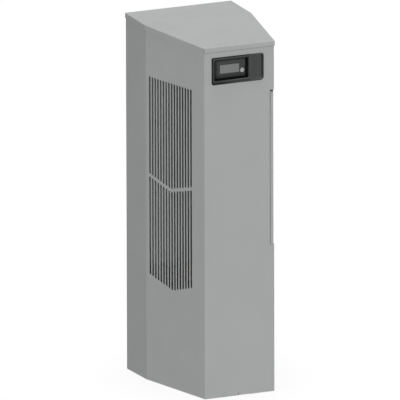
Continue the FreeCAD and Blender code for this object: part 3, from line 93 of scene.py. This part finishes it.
def span(t, fac, lo, hi, a=0.3, b=0.7):
    r = t.nodes.new("ShaderNodeMapRange")
    r.inputs["From Min"].default_value = a
    r.inputs["From Max"].default_value = b
    r.inputs["To Min"].default_value = lo
    r.inputs["To Max"].default_value = hi
    t.links.new(fac, r.inputs["Value"])
    return r.outputs["Result"]


def bump(t, fac, strength, distance, under=None):
    n = t.nodes.new("ShaderNodeBump")
    n.inputs["Strength"].default_value = strength
    n.inputs["Distance"].default_value = distance
    t.links.new(fac, n.inputs["Height"])
    if under is not None:
        t.links.new(under, n.inputs["Normal"])
    return n.outputs["Normal"]


def axes(t, vec):
    n = t.nodes.new("ShaderNodeSeparateXYZ")
    t.links.new(vec, n.inputs["Vector"])
    return n.outputs["X"], n.outputs["Y"], n.outputs["Z"]


def times(t, a, b):
    n = t.nodes.new("ShaderNodeMath")
    n.operation = "MULTIPLY"
    t.links.new(a, n.inputs[0])
    t.links.new(b, n.inputs[1])
    return n.outputs["Value"]


def blend_colour(t, fac, a, b):
    """Goes from colour a to colour b with fac; each is a plain colour or a socket."""
    n = t.nodes.new("ShaderNodeMix")
    n.data_type = "RGBA"
    t.links.new(fac, n.inputs[0])
    for socket, c in ((n.inputs[6], a), (n.inputs[7], b)):
        if isinstance(c, tuple):
            socket.default_value = (c[0], c[1], c[2], 1.0)
        else:
            t.links.new(c, socket)
    return n.outputs[2]


def shade(c, k):
    return tuple(max(0.0, min(1.0, x * k)) for x in c)


def surface(name, col, vary, vary_scale, rough, grain, metallic=0.0, spec=0.5, coat=0.0, stretch=None, coat_rough=0.1):
    """A finish: two tones mixed by noise, roughness that drifts, and a fine relief."""
    m, t, b = new_mat(name)
    v = coords(t)
    g = coords(t, stretch) if stretch else v
    big = noise(t, v, vary_scale, 4.0)
    t.links.new(
        ramp(t, big, [(0.30, shade(col, 1 - vary)), (0.5, col), (0.70, shade(col, 1 + vary))]),
        b.inputs["Base Color"],
    )
    t.links.new(span(t, noise(t, g, vary_scale * 3.1, 3.0), rough[0], rough[1]), b.inputs["Roughness"])
    t.links.new(bump(t, noise(t, g, grain[0], 2.0), grain[1], grain[2]), b.inputs["Normal"])
    b.inputs["Metallic"].default_value = metallic
    b.inputs["Specular IOR Level"].default_value = spec
    if coat:
        b.inputs["Coat Weight"].default_value = coat
        b.inputs["Coat Roughness"].default_value = coat_rough
    return m


MAT = {}
MAT["powder_coat"] = surface("powder_coat", (0.374, 0.384, 0.379), 0.02, 9.0, (0.55, 0.66), (1100.0, 0.10, 0.0004), spec=0.12)
MAT["foam_rubber"] = surface("foam_rubber", (0.022, 0.022, 0.023), 0.25, 240.0, (0.85, 0.97), (1500.0, 0.6, 0.0008), spec=0.25)
MAT["foil_foam"] = surface("foil_foam", (0.05, 0.05, 0.052), 0.18, 60.0, (0.8, 0.95), (700.0, 0.5, 0.001), spec=0.2)
MAT["galvanised"] = surface("galvanised", (0.37, 0.378, 0.385), 0.06, 90.0, (0.5, 0.62), (300.0, 0.06, 0.0004), metallic=0.12, spec=0.2)
MAT["dark_paint"] = surface("dark_paint", (0.0680, 0.0715, 0.0705), 0.12, 40.0, (0.5, 0.65), (900.0, 0.12, 0.0004), spec=0.3)
MAT["zinc"] = surface("zinc", (0.60, 0.60, 0.58), 0.08, 400.0, (0.25, 0.4), (2500.0, 0.08, 0.0002), metallic=1.0)
MAT["black_plastic"] = surface("black_plastic", (0.0440, 0.0470, 0.0462), 0.10, 60.0, (0.45, 0.6), (2600.0, 0.22, 0.0003), spec=0.4)
MAT["dark_plastic"] = surface("dark_plastic", (0.0400, 0.0425, 0.0420), 0.08, 80.0, (0.35, 0.45), (3000.0, 0.10, 0.0002), spec=0.4)
MAT["beige_plastic"] = surface("beige_plastic", (0.60, 0.56, 0.46), 0.05, 90.0, (0.4, 0.55), (2500.0, 0.1, 0.0002))
MAT["circuit_board"] = surface("circuit_board", (0.03, 0.16, 0.07), 0.2, 300.0, (0.25, 0.4), (1800.0, 0.1, 0.0002))
MAT["lcd_glass"] = surface("lcd_glass", (0.2105, 0.2207, 0.2173), 0.03, 24.0, (0.25, 0.35), (3000.0, 0.03, 0.0001), spec=0.5)
MAT["grey_button"] = surface("grey_button", (0.42, 0.43, 0.425), 0.04, 200.0, (0.4, 0.5), (3000.0, 0.1, 0.0002))
MAT["fin_aluminium"] = surface("fin_aluminium", (0.70, 0.71, 0.72), 0.06, 120.0, (0.3, 0.45), (900.0, 0.08, 0.0003), metallic=1.0)
MAT["copper"] = surface("copper", (0.17, 0.105, 0.078), 0.35, 70.0, (0.38, 0.58), (900.0, 0.06, 0.0003), metallic=1.0)
MAT["brass_fitting"] = surface("brass_fitting", (0.72, 0.55, 0.25), 0.1, 200.0, (0.22, 0.35), (1500.0, 0.06, 0.0002), metallic=1.0)
MAT["black_enamel"] = surface("black_enamel", (0.022, 0.022, 0.024), 0.15, 50.0, (0.28, 0.42), (600.0, 0.10, 0.0004), spec=0.5)
MAT["fan_plastic"] = surface("fan_plastic", (0.040, 0.0415, 0.0412), 0.12, 80.0, (0.45, 0.6), (2200.0, 0.15, 0.0003))
MAT["shaft_steel"] = surface("shaft_steel", (0.60, 0.60, 0.61), 0.06, 300.0, (0.2, 0.32), (2500.0, 0.08, 0.0001), metallic=1.0)
MAT["guard_wire"] = surface("guard_wire", (0.62, 0.62, 0.63), 0.05, 300.0, (0.14, 0.26), (2000.0, 0.05, 0.0001), metallic=1.0)
MAT["pan_plastic"] = surface("pan_plastic", (0.10, 0.10, 0.105), 0.08, 80.0, (0.45, 0.6), (2200.0, 0.15, 0.0003))
MAT["hose_vinyl"] = surface("hose_vinyl", (0.52, 0.54, 0.53), 0.06, 70.0, (0.35, 0.5), (1200.0, 0.1, 0.0003))
MAT["grommet_rubber"] = surface("grommet_rubber", (0.025, 0.025, 0.026), 0.2, 150.0, (0.75, 0.9), (1800.0, 0.3, 0.0004), spec=0.3)
MAT["filter_aluminium"] = surface("filter_aluminium", (0.440, 0.452, 0.447), 0.04, 60.0, (0.42, 0.55), (500.0, 0.05, 0.0002), metallic=0.15, spec=0.3, stretch=(1, 1, 0.04))
MAT["filter_mesh"] = surface("filter_mesh", (0.50, 0.51, 0.52), 0.10, 250.0, (0.3, 0.45), (1500.0, 0.05, 0.0002), metallic=1.0)



def bezel_plastic():
    """Moulded plastic of the display bezel: a dull face with painted light and shade: painted shade on the recess
    walls, on the bevel's head and left side, on the rim under the recess and along the outer edge, and painted light
    on the blank field, its right wall and the bevel's foot.
    """
    m, t, b = new_mat("bezel_plastic")
    v = coords(t)
    x, y, z = axes(t, v)
    tone = ramp(t, noise(t, v, 70.0, 4.0), [(0.30, (0.0575, 0.0611, 0.0602)), (0.5, (0.0620, 0.0659, 0.0650)), (0.70, (0.0665, 0.0707, 0.0697))])
    deep = span(t, y, 0.0, 1.0, -0.18368, -0.18335)  # behind the face
    left_of_rib = span(t, x, 1.0, 0.0, 0.0274, 0.0282)
    # blank field: paler towards its right wall, and the right wall paler still: painted light that offsets the shade
    # there
    tone = blend_colour(t, span(t, x, 0.0, 1.0, 0.036, 0.0655), tone, (0.0810, 0.0860, 0.0848))
    tone = blend_colour(t, times(t, span(t, x, 0.0, 1.0, 0.0646, 0.0652), deep), tone, (0.138, 0.145, 0.143))
    # painted shade: the rim under the recess, and the outer edge at the left and along the foot, darkened where shade
    # falls
    tone = blend_colour(t, times(t, span(t, z, 1.0, 0.0, 0.8222, 0.8232), left_of_rib), tone, (0.0435, 0.0462, 0.0456))
    tone = blend_colour(t, times(t, span(t, z, 1.0, 0.0, 0.8180, 0.8196), span(t, x, 1.0, 0.0, -0.044, -0.018)), tone, (0.0070, 0.0074, 0.0073))
    tone = blend_colour(t, span(t, x, 1.0, 0.0, -0.0746, -0.0738), tone, (0.0195, 0.0206, 0.0203))
    # bevel round the recess: a painted highlight along the foot, and painted shade at the top and left
    painted_foot_highlight = blend_colour(t, span(t, x, 0.0, 1.0, -0.050, 0.006), (0.0420, 0.0446, 0.0440), (0.0980, 0.1030, 0.1018))
    tone = blend_colour(t, times(t, times(t, deep, left_of_rib), span(t, z, 1.0, 0.0, 0.8239, 0.8245)), tone, painted_foot_highlight)
    tone = blend_colour(t, times(t, times(t, deep, left_of_rib), span(t, z, 0.0, 1.0, 0.8755, 0.8761)), tone, (0.0080, 0.0085, 0.0084))
    tone = blend_colour(t, times(t, deep, span(t, x, 1.0, 0.0, -0.0699, -0.0693)), tone, (0.0105, 0.0112, 0.0110))
    # walls of the recess: painted shade, darkest on the bottom wall
    wall = times(t, span(t, y, 0.0, 1.0, -0.1818, -0.1812), left_of_rib)
    tone = blend_colour(t, wall, tone, (0.0160, 0.0169, 0.0167))
    wall = times(t, wall, span(t, z, 1.0, 0.0, 0.8242, 0.8250))
    t.links.new(blend_colour(t, wall, tone, (0.0050, 0.0053, 0.0052)), b.inputs["Base Color"])
    t.links.new(span(t, noise(t, v, 210.0), 0.50, 0.64), b.inputs["Roughness"])
    t.links.new(bump(t, noise(t, v, 2600.0, 2.0), 0.22, 0.0003), b.inputs["Normal"])
    b.inputs["Specular IOR Level"].default_value = 0.12
    return m


def faceplate_plastic():
    """Controller front: dark plastic with painted shade towards its left side, its head and its foot."""
    m, t, b = new_mat("faceplate_plastic")
    v = coords(t)
    x, y, z = axes(t, v)
    face = ramp(t, noise(t, v, 90.0, 4.0), [(0.30, (0.0585, 0.0622, 0.0613)), (0.5, (0.0617, 0.0656, 0.0647)), (0.70, (0.0650, 0.0691, 0.0681))])
    # painted shade: the face darkens towards its left side, its foot and its head, where the recess walls shade it
    unshaded = times(t, span(t, x, 0.06, 1.0, -0.0606, -0.0500), span(t, z, 0.42, 1.0, 0.8270, 0.8370))
    unshaded = times(t, unshaded, span(t, z, 1.0, 0.22, 0.8668, 0.8706))
    t.links.new(blend_colour(t, unshaded, (0.0120, 0.0127, 0.0126), face), b.inputs["Base Color"])
    t.links.new(span(t, noise(t, v, 260.0), 0.42, 0.54), b.inputs["Roughness"])
    t.links.new(bump(t, noise(t, v, 3000.0, 2.0), 0.10, 0.0002), b.inputs["Normal"])
    b.inputs["Specular IOR Level"].default_value = 0.12
    return m


slot_of = {s["node"]: s["material_slot"] for s in frame["record"]["subparts"]}
for name, ob in nodes.items():
    ob.data.materials.clear()
    ob.data.materials.append(MAT[slot_of[name]])
for name, mat in (("display_bezel", bezel_plastic()), ("controller_faceplate", faceplate_plastic())):
    nodes[name].data.materials[0] = mat


# ------------------------------------------------------------------ pieces
UR = Vector((-0.202339, -0.979316, 0.0))  # forwards along the right cheek
NR = Vector((0.979316, -0.202339, 0.0))  # straight out of the right cheek
KNEE = Vector((0.14675, 0.06175, 0.0))


def cheek(u, inset, z):
    """A point by its distance along the right cheek, its depth behind the face and its height."""
    return KNEE + UR * (u * MM) - NR * (inset * MM) + Vector((0, 0, z * MM))


def piece(name, verts, faces, body, slot, smooth=None):
    me = bpy.data.meshes.new(name)
    me.from_pydata([tuple(v) for v in verts], [], faces)
    bm = bmesh.new()
    bm.from_mesh(me)
    bmesh.ops.recalc_face_normals(bm, faces=bm.faces)
    bm.to_mesh(me)
    bm.free()
    ob = bpy.data.objects.new(name, me)
    scene.collection.objects.link(ob)
    me.materials.append(MAT[slot])
    if smooth is not None:
        for p in me.polygons:
            p.use_smooth = True
        me.set_sharp_from_angle(angle=math.radians(smooth))
    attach(ob, body)
    return ob


def sweep(verts, faces, rings, close_ends=True):
    """Joins rings of equal length into a tube with closed ends."""
    n = len(rings[0])
    start = len(verts)
    for r in rings:
        verts.extend(r)
    for i in range(len(rings) - 1):
        a, b = start + i * n, start + (i + 1) * n
        for k in range(n):
            j = (k + 1) % n
            faces.append((a + k, a + j, b + j, b + k))
    if close_ends:
        faces.append(tuple(start + k for k in reversed(range(n))))
        last = start + (len(rings) - 1) * n
        faces.append(tuple(last + k for k in range(n)))


def expanded_sheet(verts, faces, along, across, inset, long_way, short_way, strand, thick, upright):
    """One sheet of expanded metal: zigzag strands that meet at their knuckles."""
    half = long_way / 2
    steps = int((along[1] - along[0]) / half)
    rows = int((across[1] - across[0]) / (short_way / 2))
    for r in range(rows):
        mid = across[0] + (r + 0.5) * short_way / 2
        rings = []
        for i in range(steps + 1):
            s = 1 if (i + r) % 2 else -1
            p = along[0] + i * half
            w = mid + s * (short_way / 4 - strand * 0.25)
            lean = 0.16 * s
            ring = []
            for a, b in ((-1, -1), (1, -1), (1, 1), (-1, 1)):
                x = w + a * strand / 2
                d = inset + b * thick / 2 + a * lean
                ring.append(cheek(x, d, p) if upright else cheek(p, d, x))
            rings.append(ring)
        sweep(verts, faces, rings)


def filter_mesh():
    v, f = [], []
    expanded_sheet(v, f, (16.5, 239.0), (391.5, 776.5), 3.9, 14.0, 7.0, 0.9, 0.45, False)
    expanded_sheet(v, f, (392.0, 776.0), (16.5, 239.0), 5.6, 20.0, 10.0, 1.0, 0.45, True)
    expanded_sheet(v, f, (16.5, 239.0), (393.2, 776.5), 7.3, 14.0, 7.0, 0.9, 0.45, False)
    ob = piece("filter_mesh_layers", v, f, "filter", "filter_mesh")
    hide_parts("filter_media")


filter_mesh()


def gasket():
    """Foam strip round the back: two uprights and two cross strips butted between them."""
    back, tall = 178.75, 5.0
    profile = [(-6.0, 0.0), (-6.0, 3.5), (-5.4, 4.45), (-3.8, 4.86), (0.0, 5.0), (3.8, 4.86), (5.4, 4.45), (6.0, 3.5), (6.0, 0.0)]
    v, f = [], []

    def strip(a, b, place, seed):
        n = max(2, int((b - a) / 9.0))
        rings = []
        for i in range(n + 1):
            t = a + (b - a) * i / n
            end = min(i, n - i)
            tuck = 0.5 if end == 0 else 0.0
            sway = 0.22 * math.sin(t * 0.021 + seed) + 0.12 * math.sin(t * 0.083 + 2 * seed)
            dip = 0.10 * (1 + math.sin(t * 0.047 + 3 * seed)) + 0.06 * (1 + math.sin(t * 0.19 + seed))
            ring = []
            for w, h in profile:
                hh = h * (tall - dip) / tall
                if h > 3:
                    hh -= tuck
                ring.append(place(t, w * 0.96 + sway, back + hh))
            rings.append(ring)
        sweep(v, f, rings)

    for side in (-1, 1):
        strip(19.0, 912.0, lambda t, w, y, s=side: Vector(((s * 128.0 + w) * MM, y * MM, t * MM)), 1.3 + side)
    for z, seed in ((25.0, 0.4), (906.0, 2.9)):
        strip(-121.6, 121.6, lambda t, w, y, c=z: Vector((t * MM, y * MM, (c + w) * MM)), seed)
    ob = piece("gasket_strip", v, f, "chassis", "foam_rubber", smooth=50)
    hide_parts("mounting_gasket")


gasket()


def cap_bead():
    """Sealant bead in the corner under the cap's front lip, smoothed by hand; its dark rubber also stands in for the
    shadow line under the lip, as painted shade.
    """
    v, f = [], []
    low = 898.22
    rings = []
    n = 120
    for i in range(n + 1):
        x = -96.2 + 192.4 * i / n
        k = 0.94 + 0.04 * math.sin(x * 0.11) + 0.02 * math.sin(x * 0.37 + 1.0)
        if i in (0, n):
            k *= 0.6
        rings.append(
            [
                Vector((x * MM, (-180.26 - a * k) * MM, (low - b * k) * MM))
                for a, b in ((0.0, -0.02), (0.75, -0.02), (0.72, 0.22), (0.50, 0.44), (0.22, 0.58), (0.0, 0.62))
            ]
        )
    sweep(v, f, rings)
    piece("cap_bead", v, f, "chassis", "grommet_rubber", smooth=40)


cap_bead()


def block(name, outline, levels, body, slot):
    """A moulded block: an outline lifted through levels of (height, inset), so its edges are eased."""
    cx = sum(p[0] for p in outline) / len(outline)
    cy = sum(p[1] for p in outline) / len(outline)
    v, f, rings = [], [], []
    for z, inset in levels:
        ring = []
        for px, py in outline:
            d = math.hypot(px - cx, py - cy)
            k = (d - inset) / d
            ring.append(Vector(((cx + (px - cx) * k) * MM, (cy + (py - cy) * k) * MM, z * MM)))
        rings.append(ring)
    sweep(v, f, rings)
    return piece(name, v, f, body, slot, smooth=35)


# painted sill and header that close the ends of the filter's slot
SILL = [(86.1, -179.75), (86.5, -180.08), (96.2, -180.08), (96.72, -179.75), (98.06, -173.3), (97.8, -172.8), (88.4, -172.8)]
block("filter_sill", SILL, [(382.03, 0.3), (382.25, 0.0), (383.45, 0.0), (383.75, 0.35)], "chassis", "powder_coat")
block("filter_header", SILL, [(784.75, 0.35), (785.0, 0.0), (787.2, 0.0), (787.45, 0.3)], "chassis", "powder_coat")
# rubber strip inside the slot, on the inner side of the filter
block(
    "slot_seal",
    [(80.5, -178.3), (80.8, -178.6), (86.75, -178.6), (87.0, -178.35), (87.95, -173.9), (87.7, -173.6), (80.8, -173.6), (80.5, -173.9)],
    [(380.2, 0.5), (380.8, 0.0), (788.6, 0.0), (789.2, 0.5)],
    "chassis",
    "pan_plastic",
)
# thin rubber edging on the sheet's edge along the slot; its dark rubber stands in for the shade line along the slot's
# edge, as painted shade
block(
    "slot_edging",
    [(85.14, -180.37), (85.58, -180.37), (85.66, -180.28), (85.66, -178.74), (85.58, -178.65), (85.14, -178.65), (85.14, -178.72), (85.54, -178.72), (85.54, -180.28), (85.14, -180.28)],
    [(384.1, 0.0), (784.5, 0.0)],
    "chassis",
    "grommet_rubber",
)
# pull tab on the upper front end of the filter; its black plastic stands in for the shade in the slot's top corner, as
# painted shade
block(
    "filter_pull_tab",
    [tuple(c / MM for c in cheek(u, inset, 0.0)[:2]) for u, inset in ((246.0, 2.05), (246.32, 2.35), (246.32, 8.9), (246.0, 9.2), (240.6, 9.2), (240.6, 2.05))],
    [(779.6, 0.4), (780.0, 0.0), (783.9, 0.0), (784.3, 0.4)],
    "filter",
    "black_plastic",
)
# sealant in the open corners of the cap's lip; its dark rubber stands in for the shade in the corner gaps, as painted
# shade
for tag, side in (("left", -1), ("right", 1)):
    block(
        "cap_corner_seal_" + tag,
        [(side * px, py) for px, py in ((97.86, -181.86), (98.02, -181.82), (98.36, -180.98), (98.28, -180.72), (97.30, -180.62), (97.20, -181.10))][:: side],
        [(899.25, 0.25), (899.55, 0.0), (910.2, 0.0), (910.5, 0.25)],
        "chassis",
        "grommet_rubber",
    )
# plug in the slit of the lower front edge; its dark rubber stands in for the shade in the slit, as painted shade
block(
    "slit_plug",
    [(-4.72, -179.95), (-4.55, -180.12), (-3.85, -180.12), (-3.68, -179.95), (-3.68, -178.6), (-4.72, -178.6)],
    [(0.35, 0.15), (0.55, 0.0), (6.9, 0.0), (7.25, 0.2)],
    "chassis",
    "grommet_rubber",
)


# ------------------------------------------------------------------ floor, world, light
def floor():
    me = bpy.data.meshes.new("floor")
    n, r = 96, 40.0
    ring = [(r * math.cos(2 * math.pi * i / n), r * math.sin(2 * math.pi * i / n), -0.0006) for i in range(n)]
    me.from_pydata(ring, [], [list(range(n))])
    ob = bpy.data.objects.new("floor", me)
    scene.collection.objects.link(ob)
    m, t, b = new_mat("floor_paper")
    v = coords(t)
    t.links.new(ramp(t, noise(t, v, 3.0), [(0.3, (0.118, 0.118, 0.118)), (0.7, (0.122, 0.122, 0.122))]), b.inputs["Base Color"])
    b.inputs["Roughness"].default_value = 0.9
    b.inputs["Specular IOR Level"].default_value = 0.0
    b.inputs["Emission Color"].default_value = (1, 1, 1, 1)
    b.inputs["Emission Strength"].default_value = 0.865
    me.materials.append(m)
    ob.visible_diffuse = False
    ob.visible_glossy = False
    ob.visible_shadow = False


floor()

world = bpy.data.worlds.new("studio")
scene.world = world
world.use_nodes = True
t = world.node_tree
t.nodes.clear()
out = t.nodes.new("ShaderNodeOutputWorld")
mix = t.nodes.new("ShaderNodeMixShader")
lp = t.nodes.new("ShaderNodeLightPath")
dim = t.nodes.new("ShaderNodeBackground")
lit = t.nodes.new("ShaderNodeBackground")
dim.inputs["Color"].default_value = (1, 1, 1, 1)
dim.inputs["Strength"].default_value = 0.10
lit.inputs["Color"].default_value = (1, 1, 1, 1)
lit.inputs["Strength"].default_value = 1.0
# what glossy surfaces see: bright overhead, a darker band at eye level, a pale floor
room = t.nodes.new("ShaderNodeBackground")
room.inputs["Strength"].default_value = 0.75
way = t.nodes.new("ShaderNodeTexCoord")
part = t.nodes.new("ShaderNodeSeparateXYZ")
t.links.new(way.outputs["Generated"], part.inputs["Vector"])
t.links.new(
    ramp(
        t,
        span(t, part.outputs["Z"], 0.0, 1.0, -1.0, 1.0),
        [(0.0, (0.75, 0.75, 0.75)), (0.40, (0.55, 0.55, 0.55)), (0.50, (0.22, 0.22, 0.22)), (0.62, (0.45, 0.45, 0.45)), (1.0, (1.0, 1.0, 1.0))],
    ),
    room.inputs["Color"],
)
gloss = t.nodes.new("ShaderNodeMixShader")
t.links.new(lp.outputs["Is Glossy Ray"], gloss.inputs["Fac"])
t.links.new(dim.outputs["Background"], gloss.inputs[1])
t.links.new(room.outputs["Background"], gloss.inputs[2])
t.links.new(lp.outputs["Is Camera Ray"], mix.inputs["Fac"])
t.links.new(gloss.outputs["Shader"], mix.inputs[1])
t.links.new(lit.outputs["Background"], mix.inputs[2])
t.links.new(mix.outputs["Shader"], out.inputs["Surface"])


def sun(name, towards, strength, angle):
    d = bpy.data.lights.new(name, "SUN")
    d.energy = strength
    d.angle = math.radians(angle)
    ob = bpy.data.objects.new(name, d)
    ob.rotation_mode = "QUATERNION"
    ob.rotation_quaternion = Vector(towards).to_track_quat("Z", "Y")
    ob.location = Vector(towards).normalized() * 4
    scene.collection.objects.link(ob)
    return ob


sun("top_light", (0.0, 0.0, 1.0), 2.97, 26)
sun("front_light", (0.0, -1.0, 0.0), 2.453, 26).visible_glossy = False
sun("left_light", (-1.0, 0.0, 0.0), 1.46, 26)
for fill in (
    sun("back_fill", (0.28, 0.96, 0.0), 2.4, 26),
    sun("right_fill", (1.0, 0.0, 0.0), 1.5, 26),
):
    fill.visible_glossy = False

scene.view_settings.view_transform = "Standard"
scene.view_settings.look = "None"
scene.view_settings.exposure = 0.0
scene.view_settings.gamma = 1.0


# ------------------------------------------------------------------ camera
def camera():
    a, e, roll = math.radians(25.168), math.radians(14.412), 0.0026
    fwd = Vector((math.sin(a) * math.cos(e), math.cos(a) * math.cos(e), -math.sin(e)))
    r0 = Vector((math.cos(a), -math.sin(a), 0))
    u0 = Vector((math.sin(a) * math.sin(e), math.cos(a) * math.sin(e), math.cos(e)))
    right = r0 * math.cos(roll) - u0 * math.sin(roll)
    up = r0 * math.sin(roll) + u0 * math.cos(roll)
    wide = 1.0085
    corner = Vector((-0.09675, -0.18025, 0.0))
    aim = corner - right * ((205.25 - 200) / 400 * wide) + up * ((399.40 - 200) / 400 * wide)
    cam = bpy.data.cameras.new("camera")
    cam.type = "PERSP"
    cam.sensor_fit = "HORIZONTAL"
    cam.sensor_width = 36.0
    cam.lens = 1700.0
    dist = wide / (36.0 / 1700.0)
    cam.clip_start, cam.clip_end = 1.0, 120.0
    ob = bpy.data.objects.new("camera", cam)
    m = Matrix((right, up, -fwd)).transposed().to_4x4()
    m.translation = aim - fwd * dist
    ob.matrix_world = m
    scene.collection.objects.link(ob)
    scene.camera = ob


camera()
